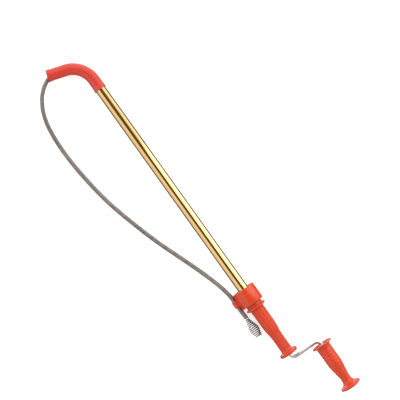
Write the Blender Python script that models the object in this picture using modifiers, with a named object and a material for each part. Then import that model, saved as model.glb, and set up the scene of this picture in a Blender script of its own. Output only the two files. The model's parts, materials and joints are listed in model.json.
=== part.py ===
"""Closet drain auger, lying flat with its cable looped back and clipped to the collar.

The tool frame has +X along the guide tube towards the crank, x = 0 on the collar's front face and
y = z = 0 on the tube's axis. The bend, the cable loop and the crank arm lie in the XY plane.
An empty carries the whole tool so that its collar rests at z = 0 and its box is centred on the origin.
"""

import math

import bmesh
import bpy
from mathutils import Vector

MM = 0.001
GAP = 0.3 * MM  # what neighbouring pieces keep clear of each other

# Placing: the tube axis stands AXIS_HEIGHT over the surface that the collar rests on
AXIS_HEIGHT = 29.1 * MM
TOOL_CENTRE = (-195.7 * MM, 6.5 * MM)  # middle of the tool's box, in the tool frame

# Guide tube: straight, then one bend towards -Y and a short straight to the mouth
TUBE_RADIUS = 14.3 * MM
TUBE_WALL = 1.2 * MM
TUBE_REAR = 124.0 * MM
BEND_START = -673.5 * MM
BEND_RADIUS = 66.5 * MM
BEND_ANGLE = math.radians(72.5)
MOUTH_STRAIGHT = 49.0 * MM
TUBE_SIDES = 24
BEND_STEPS = 9

# Vinyl guard over the bend
GUARD_START = -642.5 * MM
GUARD_WALL = 1.3 * MM
GUARD_RADIUS = 15.9 * MM
GUARD_END_RADIUS = 16.9 * MM
GUARD_FLARE = 12.0 * MM
GUARD_OVERHANG = 4.0 * MM  # how far the guard runs past the tube's end

# Cable
CABLE_RADIUS = 5.75 * MM
CABLE_SIDES_RESOLUTION = 2
CABLE_EXIT_SHIFT = 7.6 * MM  # from the mouth's centre towards the inside of the bend
CABLE_WIDE_SHIFT = -6.5 * MM  # it takes the wide side of the bend
CABLE_FLOOR_Z = CABLE_RADIUS + 0.15 * MM - AXIS_HEIGHT
CABLE_SPACING = 11.6 * MM
CABLE_STUB = 1.5 * MM  # short first and last steps, so that the two lengths meet squarely
CLIP_Y = -38.5 * MM
CLIP_Z = -4.0 * MM
BULB_Y = -37.4 * MM
CABLE_END = 69.0 * MM

# The free cable's route in plan, mouth to bulb, in millimetres
CABLE_ROUTE = [
    (-739.4, -106.0), (-732.6, -117.6), (-722.6, -129.4), (-708.6, -141.6), (-684.1, -156.2),
    (-658.4, -165.6), (-631.9, -171.3), (-591.6, -175.0), (-551.0, -175.3), (-510.4, -173.2),
    (-470.0, -169.2), (-429.7, -163.8), (-389.6, -156.8), (-350.3, -147.6), (-311.0, -137.0),
    (-272.0, -125.8), (-232.9, -113.4), (-194.9, -99.9), (-156.9, -85.6), (-118.7, -71.4),
    (-80.2, -58.2), (-41.1, -46.4), (-8.0, -39.7), (10.0, -38.5), (37.0, -38.5), (52.0, -37.9),
]
CABLE_DOWN = (-732.0 * MM, -575.0 * MM)  # sinks to the floor between these
CABLE_UP = (-170.0 * MM, 4.0 * MM)  # and climbs to the clip between these

# Bulb head: one open coil of wire that swells and closes again
BULB_START = 70.6 * MM
BULB_END = 126.0 * MM
BULB_WIRE = 1.2 * MM
BULB_TURNS = 13
BULB_TURN_POINTS = 10
BULB_NECK_RADIUS = 4.5 * MM
BULB_RADIUS = 12.8 * MM
BULB_TIP_RADIUS = 6.6 * MM
BULB_WIDEST = 0.6  # as a share of the bulb's length

# Collar: two shells round the tube, screwed together from the back
COLLAR_LENGTH = 46.0 * MM
COLLAR_RADIUS = 30.2 * MM
COLLAR_EDGE = 1.4 * MM
COLLAR_SEAT = 30.0 * MM  # depth at which the grip's spigot seats
SPIGOT_RADIUS = 18.0 * MM
SADDLE_Y = -33.2 * MM
SADDLE_TOP = 9.0 * MM
SADDLE_WIDTH = 9.0 * MM
SADDLE_INSET = 0.2 * MM  # from the collar's ends and its parting face
HOOK_FROM, HOOK_TO = 13.9 * MM, 32.8 * MM
HOOK_BORE = CABLE_RADIUS + 0.5 * MM
HOOK_THICKNESS = 1.9 * MM
HOOK_TIP_ANGLE = math.radians(262)
HOOK_ARM_TOP = 4.6 * MM
COLLAR_SCREW_X = (8.0 * MM, 38.0 * MM)
COLLAR_SCREW_Y = 21.7 * MM
SCREW_RADIUS = 1.7 * MM
SCREW_HEAD_RADIUS = 3.4 * MM
SCREW_HEAD_Z = -14.0 * MM
SCREW_TIP_Z = 9.0 * MM
RIVET_X = 16.0 * MM

# Main grip: spigot, neck, front flange, body, rear flange, as (x, radius) in millimetres
MAIN_GRIP_OUTLINE = [
    (30.3, 18.0), (46.3, 18.0), (46.3, 20.6), (47.4, 21.6), (49.8, 21.6), (50.6, 21.1),
    (54.6, 21.3), (55.0, 26.6), (56.4, 27.8), (58.6, 27.8), (60.0, 26.4), (60.8, 22.4), (62.6, 19.6),
    (70.0, 19.3), (114.0, 18.9), (127.0, 18.2), (137.0, 16.9), (147.0, 15.7), (163.0, 15.2),
    (182.0, 15.3), (195.0, 15.7), (199.2, 17.2), (200.6, 23.6), (203.0, 25.3), (206.6, 25.3),
    (209.2, 23.8), (210.0, 21.4),
]
GRIP_SCREW_X = 92.0 * MM
GRIP_BORE_STEP = TUBE_REAR + GAP
ROD_STOP_BORE = 10.3 * MM
BUSHING_FROM = 199.7 * MM
GRIP_END = 210.0 * MM

# Crank: one bent rod; the arm's throw is the crank grip's offset from the tube axis
ROD_RADIUS = 4.75 * MM
ROD_BORE = ROD_RADIUS + GAP
ROD_FRONT = -649.7 * MM
ARM_X = 224.5 * MM
THROW = 82.8 * MM
ROD_BEND = 13.0 * MM
ROD_BEND_STEPS = 6
ROD_END = 365.0 * MM

# Crank grip, from its dished front face to its rear, as (x, radius) in millimetres
CRANK_GRIP_OUTLINE = [
    (240.0, 10.0), (239.6, 22.0), (236.8, 25.0), (237.4, 27.6), (238.9, 28.6), (240.8, 27.8),
    (242.0, 24.0), (244.4, 20.6),
    (250.0, 19.3), (297.0, 19.1), (307.0, 18.4), (318.0, 16.7), (330.0, 14.8), (339.0, 13.4),
    (347.0, 12.9), (354.0, 13.6), (359.0, 15.8), (362.5, 20.0), (364.6, 25.4), (367.0, 27.9),
    (369.6, 28.4), (371.8, 26.8), (374.2, 21.0), (375.6, 12.6),
]
STOP_RING_FROM = 238.0 * MM
STOP_RING_LENGTH = 3.0 * MM
STOP_RING_RADIUS = 8.0 * MM
CAP_POCKET_FROM = 358.0 * MM
CAP_POCKET_RADIUS = 11.2 * MM
CAP_FROM = 366.2 * MM
CAP_RADIUS = CAP_POCKET_RADIUS - GAP

# Where rod and cable meet inside the tube, front to rear
COUPLING_FROM, COUPLING_TO = -660.0 * MM, -636.0 * MM
COUPLING_STEP = -650.0 * MM
COUPLING_RADIUS = 8.5 * MM
COUPLING_SCREW_X = (-655.0 * MM, -643.0 * MM)
SET_SCREW_RADIUS = 1.7 * MM
RING_THICKNESS = 1.2 * MM
RING_RADIUS = 7.5 * MM
FRONT_RING_FROM = COUPLING_TO + GAP
ROD_GUIDE_FROM = FRONT_RING_FROM + RING_THICKNESS + GAP
ROD_GUIDE_LENGTH = 14.0 * MM
ROD_GUIDE_RADIUS = 10.0 * MM
REAR_RING_FROM = ROD_GUIDE_FROM + ROD_GUIDE_LENGTH + GAP

MATERIALS = {
    "moulded_red": ((0.74, 0.065, 0.026), 0.42, 0.0),
    "vinyl_red": ((0.75, 0.058, 0.045), 0.25, 0.0),
    "zinc_yellow_steel": ((0.72, 0.46, 0.14), 0.22, 1.0),
    "plated_rod_steel": ((0.78, 0.78, 0.79), 0.28, 1.0),
    "cable_steel": ((0.21, 0.18, 0.16), 0.45, 1.0),
    "bulb_steel": ((0.07, 0.055, 0.045), 0.42, 1.0),
    "fastener_steel": ((0.55, 0.55, 0.56), 0.35, 1.0),
    "nylon": ((0.82, 0.81, 0.76), 0.5, 0.0),
}


# ---------------------------------------------------------------- scene and objects


def clear_scene():
    for obj in list(bpy.data.objects):
        bpy.data.objects.remove(obj, do_unlink=True)


def make_collection(name):
    collection = bpy.data.collections.new(name)
    bpy.context.scene.collection.children.link(collection)
    return collection


def make_material(name):
    colour, roughness, metallic = MATERIALS[name]
    material = bpy.data.materials.get(name) or bpy.data.materials.new(name)
    material.use_nodes = True
    material.diffuse_color = (*colour, 1.0)
    shader = material.node_tree.nodes["Principled BSDF"]
    shader.inputs["Base Color"].default_value = (*colour, 1.0)
    shader.inputs["Roughness"].default_value = roughness
    shader.inputs["Metallic"].default_value = metallic
    return material


def place(name, data, material=None, location=(0, 0, 0), rotation=(0, 0, 0)):
    """A new object in the tool frame; with no material it is a cutter or a helper."""
    obj = bpy.data.objects.new(name, data)
    (parts if material else cutters).objects.link(obj)
    obj.parent = tool
    obj.location = location
    obj.rotation_euler = rotation
    if material:
        data.materials.append(make_material(material))
    else:
        obj.hide_render = True
        obj.display_type = "WIRE"
    return obj


def boolean(obj, other, operation):
    modifier = obj.modifiers.new(operation.lower() + "_" + other.name, "BOOLEAN")
    modifier.operation = operation
    modifier.solver = "EXACT"
    modifier.object = other


# ---------------------------------------------------------------- shapes


ALONG_X = (0, math.pi / 2, 0)  # turns local +Z to +X
SECTION_YZ = (math.pi / 2, 0, math.pi / 2)  # turns local XY to the tool's YZ plane


def turned(name, outline, material=None, steps=24, centre=(0, 0), hollow=True):
    """Turns an outline of (x, radius) points about the line through centre (y, z) along X.
    A hollow outline closes on itself; a solid one starts and ends on the axis."""
    mesh = bpy.data.meshes.new(name)
    points = [(radius, 0, x) for x, radius in reversed(outline)]
    edges = [(i, i + 1) for i in range(len(points) - 1)]
    if hollow:
        edges.append((len(points) - 1, 0))
    mesh.from_pydata(points, edges, [])
    obj = place(name, mesh, material, (0, *centre), ALONG_X)
    screw = obj.modifiers.new("turn", "SCREW")
    screw.axis = "Z"
    screw.steps = screw.render_steps = steps
    screw.use_merge_vertices = True
    screw.merge_threshold = 0.00001
    screw.use_smooth_shade = True
    return obj


def sleeve(name, start, end, radius, bore, material, steps=24, centre=(0, 0)):
    outline = [(start, radius), (end, radius), (end, bore), (start, bore)]
    return turned(name, outline, material, steps, centre)


def cylinder(name, start, end, radius, steps=24):
    """A cutter between two points."""
    start, end = Vector(start), Vector(end)
    mesh = bpy.data.meshes.new(name)
    shape = bmesh.new()
    bmesh.ops.create_cone(shape, cap_ends=True, segments=steps, radius1=radius, radius2=radius,
                          depth=(end - start).length)
    shape.to_mesh(mesh)
    shape.free()
    turn = Vector((0, 0, 1)).rotation_difference(end - start).to_euler()
    return place(name, mesh, None, (start + end) / 2, turn)


def block(name, low, high, edge=0.0):
    """A box between two corners, for a Boolean."""
    mesh = bpy.data.meshes.new(name)
    shape = bmesh.new()
    bmesh.ops.create_cube(shape, size=1)
    size = [b - a for a, b in zip(low, high)]
    bmesh.ops.scale(shape, vec=size, verts=shape.verts)
    if edge:
        bmesh.ops.bevel(shape, geom=shape.edges, offset=edge, segments=1, affect="EDGES")
    shape.to_mesh(mesh)
    shape.free()
    return place(name, mesh, None, [(a + b) / 2 for a, b in zip(low, high)])


def poly_curve(name, points, radius, resolution, caps=True, radii=None):
    """A round tube along points, as a curve object's data."""
    data = bpy.data.curves.new(name, "CURVE")
    data.dimensions = "3D"
    data.bevel_depth = radius
    data.bevel_resolution = resolution
    data.use_fill_caps = caps
    spline = data.splines.new("POLY")
    spline.points.add(len(points) - 1)
    for i, point in enumerate(points):
        spline.points[i].co = (*point, 1)
        spline.points[i].radius = radii[i] if radii else 1.0
        spline.use_smooth = True
    return data


def as_mesh(name, curve_data):
    """The curve's mesh with its caps welded on; the curve is removed."""
    helper = bpy.data.objects.new(name + "_curve", curve_data)
    cutters.objects.link(helper)
    graph = bpy.context.evaluated_depsgraph_get()
    mesh = bpy.data.meshes.new_from_object(helper.evaluated_get(graph))
    bpy.data.objects.remove(helper, do_unlink=True)
    mesh.name = name
    shape = bmesh.new()
    shape.from_mesh(mesh)
    bmesh.ops.remove_doubles(shape, verts=shape.verts, dist=0.000001)
    bmesh.ops.recalc_face_normals(shape, faces=shape.faces)
    shape.to_mesh(mesh)
    shape.free()
    return mesh


def swept_shell(name, points, radii, wall, material):
    """A bent tube of round section, open at both ends, with its wall inside the given radii."""
    data = poly_curve(name, points, 1.0, TUBE_SIDES // 2 - 2, False, radii)
    mesh = as_mesh(name, data)
    shape = bmesh.new()
    shape.from_mesh(mesh)
    middle = sum((Vector(p) for p in points), Vector()) / len(points)
    nearest = min(points, key=lambda p: (Vector(p) - middle).length)
    face = min(shape.faces, key=lambda f: (f.calc_center_median() - Vector(nearest)).length)
    away = face.calc_center_median() - Vector(nearest)
    if face.normal.dot(away) < 0:
        bmesh.ops.reverse_faces(shape, faces=shape.faces)
    shape.to_mesh(mesh)
    shape.free()
    obj = place(name, mesh, material)
    shell = obj.modifiers.new("wall", "SOLIDIFY")
    shell.thickness = wall
    shell.offset = -1
    shell.use_even_offset = True
    return obj


# ---------------------------------------------------------------- routes


def tube_point(run):
    """Point and heading of the tube's centreline, run metres past the start of the bend."""
    if run <= 0:
        return Vector((BEND_START - run, 0, 0)), Vector((-1, 0, 0))
    angle = min(run / BEND_RADIUS, BEND_ANGLE)
    heading = Vector((-math.cos(angle), -math.sin(angle), 0))
    point = Vector((BEND_START - BEND_RADIUS * math.sin(angle),
                    -BEND_RADIUS * (1 - math.cos(angle)), 0))
    return point + heading * max(0, run - BEND_RADIUS * BEND_ANGLE), heading


BEND_LENGTH = BEND_RADIUS * BEND_ANGLE
MOUTH_RUN = BEND_LENGTH + MOUTH_STRAIGHT


def tube_runs(first, last):
    """Stations along the tube that its bend needs, from first to last."""
    bend = [BEND_LENGTH * i / BEND_STEPS for i in range(BEND_STEPS + 1)]
    return [first] + [run for run in bend if first < run < last] + [last]


def smooth_curve(points, spacing):
    """Points about spacing apart on a smooth curve through the given ones."""
    points = [Vector(p) for p in points]
    ends = [2 * points[0] - points[1]] + points + [2 * points[-1] - points[-2]]
    fine = []
    for a, b, c, d in zip(ends, ends[1:], ends[2:], ends[3:]):
        knots = [0.0]
        for near, far in ((a, b), (b, c), (c, d)):
            knots.append(knots[-1] + math.sqrt((far - near).length))
        leave = (c - a) / (knots[2] - knots[0]) * (knots[2] - knots[1])
        arrive = (d - b) / (knots[3] - knots[1]) * (knots[2] - knots[1])
        for i in range(12):
            t = i / 12
            fine.append(b * (2 * t**3 - 3 * t**2 + 1) + leave * (t**3 - 2 * t**2 + t)
                        + c * (3 * t**2 - 2 * t**3) + arrive * (t**3 - t**2))
    fine.append(points[-1])
    runs = [0.0]
    for near, far in zip(fine, fine[1:]):
        runs.append(runs[-1] + (far - near).length)
    count = round(runs[-1] / spacing)
    even, at = [], 0
    for i in range(count + 1):
        want = runs[-1] * i / count
        while at < len(runs) - 2 and runs[at + 1] < want:
            at += 1
        share = (want - runs[at]) / (runs[at + 1] - runs[at])
        even.append(fine[at].lerp(fine[at + 1], share))
    return even


def ease(x, span):
    """0 before the span, 1 after it, and a smooth rise between."""
    share = min(1, max(0, (x - span[0]) / (span[1] - span[0])))
    return (1 - math.cos(math.pi * share)) / 2


def inner_cable_point(run):
    """The cable's centre inside the tube: wide round the bend, then across to the inner lip."""
    point, heading = tube_point(run)
    inward = Vector((-heading.y, heading.x, 0))
    if run < BEND_LENGTH:
        shift = CABLE_WIDE_SHIFT * ease(run, (0, BEND_LENGTH))
    else:
        share = (run - BEND_LENGTH) / MOUTH_STRAIGHT
        shift = CABLE_WIDE_SHIFT + (CABLE_EXIT_SHIFT - CABLE_WIDE_SHIFT) * share**3
    return point + inward * shift


def free_cable_points():
    exit_point = inner_cable_point(MOUTH_RUN)
    heading = (exit_point - inner_cable_point(MOUTH_RUN - CABLE_STUB)).normalized()
    plan = [exit_point + heading * GAP]
    plan += [Vector((x * MM, y * MM, 0)) for x, y in CABLE_ROUTE]
    plan.append(Vector((CABLE_END, BULB_Y, 0)))
    route = smooth_curve(plan, CABLE_SPACING)
    for point in route:
        if point.y < -165 * MM or point.x < CABLE_DOWN[1]:
            point.z = CABLE_FLOOR_Z * ease(point.x, CABLE_DOWN)
        else:
            point.z = CABLE_FLOOR_Z + (CLIP_Z - CABLE_FLOOR_Z) * ease(point.x, CABLE_UP)
    return [route[0], route[0] + heading * CABLE_STUB] + route[1:]


# ---------------------------------------------------------------- guide tube, guard and cable


def make_guide_tube():
    runs = tube_runs(BEND_START - TUBE_REAR, MOUTH_RUN - GUARD_OVERHANG)
    points = [tube_point(run)[0] for run in runs]
    tube = swept_shell("guide_tube", points, [TUBE_RADIUS] * len(points), TUBE_WALL,
                       "zinc_yellow_steel")
    for x in (RIVET_X, GRIP_SCREW_X):
        name = "tube_hole_" + str(round(x / MM))
        hole = cylinder(name, (x, 0, -TUBE_RADIUS - 2 * MM), (x, 0, -TUBE_RADIUS / 2),
                        SCREW_RADIUS + GAP, 12)
        boolean(tube, hole, "DIFFERENCE")


def make_vinyl_guard():
    first, last = BEND_START - GUARD_START, MOUTH_RUN
    runs = tube_runs(first, last)
    runs += [first + GUARD_FLARE, last - GUARD_FLARE]
    runs.sort()
    points = [tube_point(run)[0] for run in runs]
    radii = []
    for run in runs:
        swell = max(0, 1 - min(run - first, last - run) / GUARD_FLARE)
        radii.append(GUARD_RADIUS + (GUARD_END_RADIUS - GUARD_RADIUS) * swell)
    swept_shell("vinyl_guard", points, radii, GUARD_WALL, "vinyl_red")


def make_cable():
    start = BEND_START - COUPLING_STEP + GAP
    stations = 15
    runs = [start + (MOUTH_RUN - start) * i / stations for i in range(stations + 1)]
    runs.insert(stations, MOUTH_RUN - CABLE_STUB)
    inner = poly_curve("cable_inner", [inner_cable_point(run) for run in runs], CABLE_RADIUS,
                       CABLE_SIDES_RESOLUTION)
    place("cable_inner", inner, "cable_steel")
    free = poly_curve("cable_free", free_cable_points(), CABLE_RADIUS, CABLE_SIDES_RESOLUTION)
    place("cable_free", free, "cable_steel")


def bulb_radius(share):
    if share < BULB_WIDEST:
        rise = ease(share, (-0.04, BULB_WIDEST))
        return BULB_NECK_RADIUS + (BULB_RADIUS - BULB_NECK_RADIUS) * rise
    return BULB_RADIUS + (BULB_TIP_RADIUS - BULB_RADIUS) * ease(share, (BULB_WIDEST, 1.12))


def make_bulb_head():
    """One wire, wound into an open coil on the cable's end."""
    steps = BULB_TURNS * BULB_TURN_POINTS
    points = []
    for i in range(steps + 1):
        share = i / steps
        angle = 2 * math.pi * BULB_TURNS * share
        radius = bulb_radius(share)
        points.append((BULB_START + (BULB_END - BULB_START) * share,
                       radius * math.cos(angle), radius * math.sin(angle)))
    wire = poly_curve("bulb_head", points, BULB_WIRE, 1)
    place("bulb_head", wire, "bulb_steel", (0, BULB_Y, CLIP_Z))


# ---------------------------------------------------------------- collar


def collar_ring(name):
    """The full collar; each shell is one half of it."""
    bore, seat = TUBE_RADIUS + GAP, SPIGOT_RADIUS + GAP
    rim = COLLAR_RADIUS - COLLAR_EDGE
    outline = [(0, rim), (COLLAR_EDGE, COLLAR_RADIUS), (COLLAR_LENGTH - COLLAR_EDGE, COLLAR_RADIUS),
               (COLLAR_LENGTH, rim), (COLLAR_LENGTH, seat), (COLLAR_SEAT, seat),
               (COLLAR_SEAT, bore), (0, bore)]
    return turned(name, outline, "moulded_red", 40)


def hook_shape():
    """Arm over the cable and round its outer side, as one flat outline in the YZ plane."""
    outer, inner = HOOK_BORE + HOOK_THICKNESS, HOOK_BORE
    steps = 12
    angles = [math.pi / 2 + (HOOK_TIP_ANGLE - math.pi / 2) * i / steps for i in range(steps + 1)]
    root = -COLLAR_RADIUS + 4 * MM
    outline = [(root, CLIP_Z + inner), (root, HOOK_ARM_TOP)]
    outline += [(CLIP_Y + outer * math.cos(a), CLIP_Z + outer * math.sin(a)) for a in angles]
    outline += [(CLIP_Y + inner * math.cos(a), CLIP_Z + inner * math.sin(a))
                for a in reversed(angles)]
    data = bpy.data.curves.new("hook", "CURVE")
    data.dimensions = "2D"
    data.fill_mode = "BOTH"
    data.extrude = (HOOK_TO - HOOK_FROM) / 2
    spline = data.splines.new("POLY")
    spline.points.add(len(outline) - 1)
    spline.use_cyclic_u = True
    for point, (y, z) in zip(spline.points, outline):
        point.co = (y, z, 0, 1)
    middle = ((HOOK_FROM + HOOK_TO) / 2, 0, 0)
    return place("hook", as_mesh("hook", data), None, middle, SECTION_YZ)


def collar_screw_places():
    return [(x, side * COLLAR_SCREW_Y) for x in COLLAR_SCREW_X for side in (1, -1)]


def make_collar():
    front, back = collar_ring("collar_front_shell"), collar_ring("collar_back_shell")
    reach = 60 * MM
    upper = block("upper_half", (-reach, -reach, GAP / 2), (reach * 2, reach, reach))
    lower = block("lower_half", (-reach, -reach, -AXIS_HEIGHT), (reach * 2, reach, -GAP / 2))
    boolean(front, upper, "INTERSECT")
    boolean(back, lower, "INTERSECT")
    saddle = block("saddle", (SADDLE_INSET, SADDLE_Y, GAP / 2 + SADDLE_INSET),
                   (COLLAR_LENGTH - SADDLE_INSET, SADDLE_Y + SADDLE_WIDTH, SADDLE_TOP), 0.8 * MM)
    boolean(front, saddle, "UNION")
    boolean(front, hook_shape(), "UNION")
    for i, (x, y) in enumerate(collar_screw_places(), 1):
        hole = cylinder(f"screw_hole_{i}", (x, y, SCREW_HEAD_Z - 5 * MM),
                        (x, y, SCREW_TIP_Z + 1 * MM), SCREW_RADIUS + GAP, 12)
        recess = cylinder(f"screw_recess_{i}", (x, y, -AXIS_HEIGHT - 5 * MM),
                          (x, y, SCREW_HEAD_Z + GAP), SCREW_HEAD_RADIUS + GAP, 16)
        boolean(front, hole, "DIFFERENCE")
        boolean(back, hole, "DIFFERENCE")
        boolean(back, recess, "DIFFERENCE")
    shank = cylinder("rivet_hole", (RIVET_X, 0, -AXIS_HEIGHT - 5 * MM), (RIVET_X, 0, -10 * MM),
                     SCREW_RADIUS + GAP, 12)
    recess = cylinder("rivet_recess", (RIVET_X, 0, -AXIS_HEIGHT - 5 * MM),
                      (RIVET_X, 0, -AXIS_HEIGHT + 3.4 * MM), SCREW_HEAD_RADIUS + GAP, 16)
    boolean(back, shank, "DIFFERENCE")
    boolean(back, recess, "DIFFERENCE")


def headed_pin(name, x, y, head_z, tip_z, material="fastener_steel"):
    """A screw or rivet standing along Z with its head at the bottom."""
    head = 2.2 * MM
    outline = [(0, 0), (0, SCREW_HEAD_RADIUS - 0.8 * MM), (0.9 * MM, SCREW_HEAD_RADIUS),
               (head, SCREW_HEAD_RADIUS), (head, SCREW_RADIUS), (tip_z - head_z - 0.6 * MM, SCREW_RADIUS),
               (tip_z - head_z, SCREW_RADIUS - 0.6 * MM), (tip_z - head_z, 0)]
    pin = turned(name, outline, material, 12, hollow=False)
    pin.rotation_euler = (0, 0, 0)
    pin.location = (x, y, head_z)


def make_collar_fasteners():
    head = 2.2 * MM
    for i, (x, y) in enumerate(collar_screw_places(), 1):
        headed_pin(f"collar_screw_{i}", x, y, SCREW_HEAD_Z - head, SCREW_TIP_Z)
    headed_pin("collar_rivet", RIVET_X, 0, -AXIS_HEIGHT + 0.7 * MM, -TUBE_RADIUS + TUBE_WALL)


# ---------------------------------------------------------------- main grip


def make_main_grip():
    outline = [(x * MM, radius * MM) for x, radius in MAIN_GRIP_OUTLINE]
    outline += [(GRIP_END, ROD_STOP_BORE), (GRIP_BORE_STEP, ROD_STOP_BORE),
                (GRIP_BORE_STEP, TUBE_RADIUS + GAP), (outline[0][0], TUBE_RADIUS + GAP)]
    grip = turned("main_grip", outline, "moulded_red", 28)
    hole = cylinder("grip_screw_hole", (GRIP_SCREW_X, 0, -30 * MM), (GRIP_SCREW_X, 0, -10 * MM),
                    SCREW_RADIUS + GAP, 12)
    recess = cylinder("grip_screw_recess", (GRIP_SCREW_X, 0, -30 * MM),
                      (GRIP_SCREW_X, 0, -16.2 * MM), SCREW_HEAD_RADIUS + GAP, 16)
    boolean(grip, hole, "DIFFERENCE")
    boolean(grip, recess, "DIFFERENCE")
    headed_pin("grip_screw", GRIP_SCREW_X, 0, -18.7 * MM, -TUBE_RADIUS + TUBE_WALL)
    sleeve("grip_bushing", BUSHING_FROM, GRIP_END, ROD_STOP_BORE - GAP, ROD_BORE, "nylon")


# ---------------------------------------------------------------- crank


def rod_points():
    """Straight through the tube, out along the arm and back to the grip's own axis."""
    points = [Vector((ROD_FRONT, 0, 0))]
    for i in range(ROD_BEND_STEPS + 1):
        a = math.pi / 2 * i / ROD_BEND_STEPS
        points.append(Vector((ARM_X - ROD_BEND * (1 - math.sin(a)), ROD_BEND * (1 - math.cos(a)), 0)))
    for i in range(ROD_BEND_STEPS + 1):
        a = math.pi / 2 * i / ROD_BEND_STEPS
        points.append(Vector((ARM_X + ROD_BEND * (1 - math.cos(a)),
                              THROW - ROD_BEND * (1 - math.sin(a)), 0)))
    points.append(Vector((ROD_END, THROW, 0)))
    return points


def make_crank():
    place("crank_rod", poly_curve("crank_rod", rod_points(), ROD_RADIUS, 4), "plated_rod_steel")
    cable_bore = CABLE_RADIUS + GAP
    outline = [(COUPLING_FROM, COUPLING_RADIUS - 0.8 * MM), (COUPLING_FROM + 0.8 * MM, COUPLING_RADIUS),
               (COUPLING_TO - 0.8 * MM, COUPLING_RADIUS), (COUPLING_TO, COUPLING_RADIUS - 0.8 * MM),
               (COUPLING_TO, ROD_BORE), (COUPLING_STEP, ROD_BORE), (COUPLING_STEP, cable_bore),
               (COUPLING_FROM, cable_bore)]
    coupling = turned("cable_coupling", outline, "fastener_steel")
    for i, (x, bore) in enumerate(zip(COUPLING_SCREW_X, (cable_bore, ROD_BORE)), 1):
        hole = cylinder(f"coupling_hole_{i}", (x, 0, 0), (x, 0, COUPLING_RADIUS + 3 * MM),
                        SET_SCREW_RADIUS + GAP, 12)
        boolean(coupling, hole, "DIFFERENCE")
        low, high = bore + 0.1 * MM, COUPLING_RADIUS - 0.1 * MM
        outline = [(low, 0), (low, SET_SCREW_RADIUS), (high, SET_SCREW_RADIUS), (high, 0)]
        screw = turned(f"coupling_screw_{i}", outline, "fastener_steel", 12, hollow=False)
        screw.rotation_euler = (0, 0, 0)
        screw.location = (x, 0, 0)
    for name, start in (("front", FRONT_RING_FROM), ("rear", REAR_RING_FROM)):
        sleeve(f"retaining_ring_{name}", start, start + RING_THICKNESS, RING_RADIUS, ROD_BORE,
               "fastener_steel")
    sleeve("rod_guide", ROD_GUIDE_FROM, ROD_GUIDE_FROM + ROD_GUIDE_LENGTH, ROD_GUIDE_RADIUS,
           ROD_BORE, "nylon")


def make_crank_grip():
    centre = (THROW, 0)
    front, rear = CRANK_GRIP_OUTLINE[0][0] * MM, CRANK_GRIP_OUTLINE[-1][0] * MM
    ring_pocket = STOP_RING_FROM + STOP_RING_LENGTH + GAP
    outline = [(x * MM, radius * MM) for x, radius in CRANK_GRIP_OUTLINE]
    outline += [(rear, CAP_POCKET_RADIUS), (CAP_POCKET_FROM, CAP_POCKET_RADIUS),
                (CAP_POCKET_FROM, ROD_BORE), (ring_pocket, ROD_BORE),
                (ring_pocket, STOP_RING_RADIUS + GAP), (front, STOP_RING_RADIUS + GAP)]
    turned("crank_grip", outline, "moulded_red", 28, centre)
    sleeve("grip_stop_ring", STOP_RING_FROM, STOP_RING_FROM + STOP_RING_LENGTH, STOP_RING_RADIUS,
           ROD_BORE, "fastener_steel", 20, centre)
    washer = CAP_POCKET_FROM + GAP
    nut = washer + 1.2 * MM + GAP
    sleeve("grip_washer", washer, washer + 1.2 * MM, 9.5 * MM, ROD_BORE, "fastener_steel", 20, centre)
    sleeve("push_nut", nut, nut + 3 * MM, 8 * MM, ROD_BORE, "fastener_steel", 20, centre)
    dome = [(CAP_FROM, 0), (CAP_FROM, CAP_RADIUS), (rear, CAP_RADIUS),
            (rear + 0.5 * MM, CAP_RADIUS * 0.7), (rear + 0.7 * MM, 0)]
    turned("grip_end_cap", dome, "moulded_red", 24, centre, hollow=False)


clear_scene()
parts = make_collection("closet_auger")
cutters = make_collection("cutters")
cutters.hide_render = True
tool = bpy.data.objects.new("tool_frame", None)
parts.objects.link(tool)
tool.location = (-TOOL_CENTRE[0], -TOOL_CENTRE[1], AXIS_HEIGHT)
make_guide_tube()
make_vinyl_guard()
make_cable()
make_bulb_head()
make_collar()
make_collar_fasteners()
make_main_grip()
make_crank()
make_crank_grip()
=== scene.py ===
"""Looks for the closet drain auger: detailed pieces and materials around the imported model, lit from
both sides on a pale floor and seen from straight above.

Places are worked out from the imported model's boxes. Lengths called x run along the guide tube from the
collar's front face towards the crank, as in the design.
"""

import json
import math

import bmesh
import bpy
import numpy as np
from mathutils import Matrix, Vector


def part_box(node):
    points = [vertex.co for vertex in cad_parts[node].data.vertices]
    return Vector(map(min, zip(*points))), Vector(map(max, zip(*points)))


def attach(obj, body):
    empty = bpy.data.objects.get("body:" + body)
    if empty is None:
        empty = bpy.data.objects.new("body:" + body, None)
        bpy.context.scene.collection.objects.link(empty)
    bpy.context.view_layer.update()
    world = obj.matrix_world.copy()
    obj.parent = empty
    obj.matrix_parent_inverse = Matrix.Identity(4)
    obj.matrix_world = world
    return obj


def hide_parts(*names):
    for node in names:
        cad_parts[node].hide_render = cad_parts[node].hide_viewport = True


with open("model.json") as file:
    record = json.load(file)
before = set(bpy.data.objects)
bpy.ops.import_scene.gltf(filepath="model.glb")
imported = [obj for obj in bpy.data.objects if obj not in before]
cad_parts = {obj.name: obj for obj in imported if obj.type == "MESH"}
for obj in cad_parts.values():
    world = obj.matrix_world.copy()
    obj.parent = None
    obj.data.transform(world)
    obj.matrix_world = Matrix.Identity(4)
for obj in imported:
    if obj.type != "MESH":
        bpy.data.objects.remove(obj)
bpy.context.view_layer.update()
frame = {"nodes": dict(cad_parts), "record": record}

MM = 0.001


def middle(node):
    low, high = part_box(node)
    return (low + high) / 2


def size(node):
    low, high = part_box(node)
    return high - low


# The tool frame: x = 0 on the collar's front face, y = z = 0 on the guide tube's axis
AXIS = middle("grip_bushing")
ORIGIN = Vector((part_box("collar_front_shell")[0].x, AXIS.y, AXIS.z))


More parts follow.
